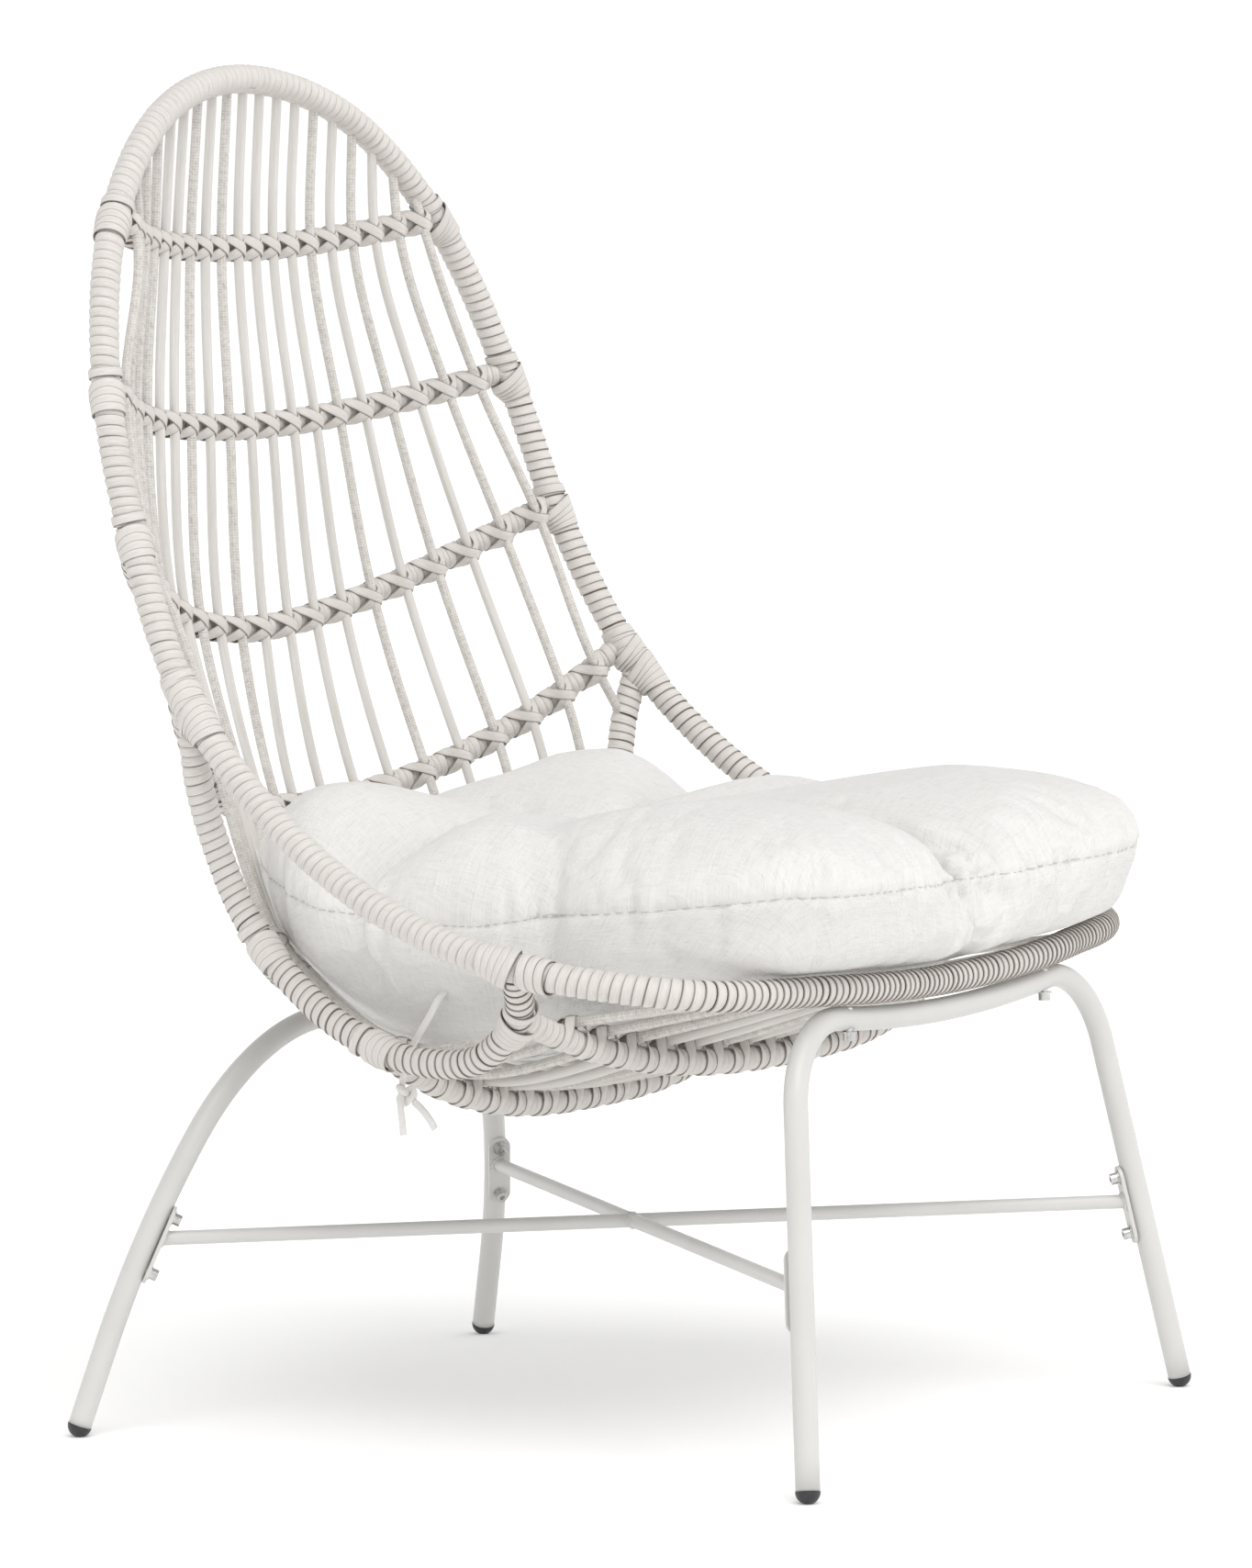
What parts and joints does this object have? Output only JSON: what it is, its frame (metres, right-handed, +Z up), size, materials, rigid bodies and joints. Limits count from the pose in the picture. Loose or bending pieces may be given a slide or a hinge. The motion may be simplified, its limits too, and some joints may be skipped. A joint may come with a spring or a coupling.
{
  "type": "high-back egg lounge chair",
  "caption": "High-back egg-shaped wicker lounge chair with a wrapped rim, round canes, a tufted seat cushion tied to the frame and crossed stretchers on four bent tube legs.",
  "frame": {"origin": "on the floor under the middle of the chair, midway between its front and back limits and on its middle plane", "axes": "+Z up; the sitter faces -Y, so the back of the chair is towards +Y; X runs across the chair and left means towards -X"},
  "size_m": [0.833, 0.7791, 1.1575],
  "materials": {
    "wicker_wrap": "flat off-white synthetic strip wound tightly, with a faint grain along the strip",
    "hidden_steel": "dark primer, seen only between turns of the wrap",
    "round_cane": "off-white round synthetic cane, some smooth and some with a fine braid",
    "leg_paint": "warm grey-white powder coat, low gloss with a fine texture",
    "foot_plastic": "dark charcoal moulded plastic",
    "fasteners": "bright zinc-plated socket screws and washers",
    "cushion_cloth": "near-white linen-weave outdoor cloth with sewn tufts",
    "filling_fibre": "white polyester fibre, inside the cover",
    "tie_cloth": "folded strip of the cushion cloth with cut ends"
  },
  "bodies": {
    "root": {"rim_tube": "hidden_steel", "rim_wrap": "wicker_wrap", "side_tube_left": "hidden_steel", "side_tube_right": "hidden_steel", "side_wrap_left": "wicker_wrap", "side_wrap_right": "wicker_wrap", "top_rib_tube": "hidden_steel", "upper_back_rib_tube": "hidden_steel", "middle_back_rib_tube": "hidden_steel", "lower_back_rib_tube": "hidden_steel", "rear_seat_rib_tube": "hidden_steel", "middle_seat_rib_tube": "hidden_steel", "front_seat_rib_tube": "hidden_steel", "top_rib_wrap": "wicker_wrap", "upper_back_rib_wrap": "wicker_wrap", "middle_back_rib_wrap": "wicker_wrap", "lower_back_rib_wrap": "wicker_wrap", "rear_seat_rib_wrap": "wicker_wrap", "middle_seat_rib_wrap": "wicker_wrap", "front_seat_rib_wrap": "wicker_wrap", "cane_01": "round_cane", "cane_02": "round_cane", "cane_03": "round_cane", "cane_04": "round_cane", "cane_05": "round_cane", "cane_06": "round_cane", "cane_07": "round_cane", "cane_08": "round_cane", "cane_09": "round_cane", "cane_10": "round_cane", "cane_11": "round_cane", "cane_12": "round_cane", "cane_13": "round_cane", "cane_14": "round_cane", "cane_15": "round_cane", "cane_16": "round_cane", "cane_17": "round_cane", "cane_18": "round_cane", "cane_19": "round_cane", "front_leg_frame": "leg_paint", "rear_leg_frame": "leg_paint", "through_stretcher": "leg_paint", "split_stretcher": "leg_paint", "foot_cap_front_left": "foot_plastic", "foot_cap_front_right": "foot_plastic", "foot_cap_rear_left": "foot_plastic", "foot_cap_rear_right": "foot_plastic", "stretcher_screws": "fasteners", "stretcher_washers": "fasteners", "frame_screws": "fasteners", "frame_washers": "fasteners", "cushion_cover": "cushion_cloth", "cushion_filling": "filling_fibre", "tie_left": "tie_cloth", "tie_right": "tie_cloth", "tie_tail_left": "tie_cloth", "tie_tail_right": "tie_cloth"}
  },
  "joints": []
}
